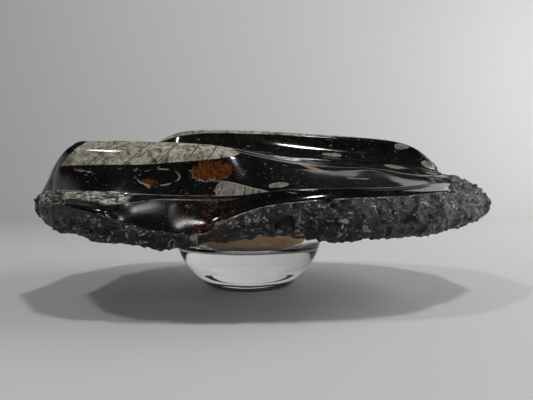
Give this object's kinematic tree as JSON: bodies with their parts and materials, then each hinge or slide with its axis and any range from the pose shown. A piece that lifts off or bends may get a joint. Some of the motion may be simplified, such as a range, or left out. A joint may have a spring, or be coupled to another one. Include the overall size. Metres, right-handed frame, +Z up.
{
  "type": "orthoceras fossil",
  "caption": "Black limestone slab with long tapering chambered shells polished in relief and a rough broken edge, resting on a small thick clear glass dish.",
  "frame": {"origin": "centre of the glass dish's foot, on the surface it stands on", "axes": "+Z up, +X along the slab's length, -Y towards the slab's broken front lip"},
  "size_m": [0.2578, 0.1645, 0.103],
  "materials": {
    "stone": "polished black limestone with pale fossils, rough along its broken edges",
    "glass": "clear and glossy"
  },
  "bodies": {
    "root": {"orthoceras_slab": "stone", "glass_dish": "glass"}
  },
  "joints": []
}
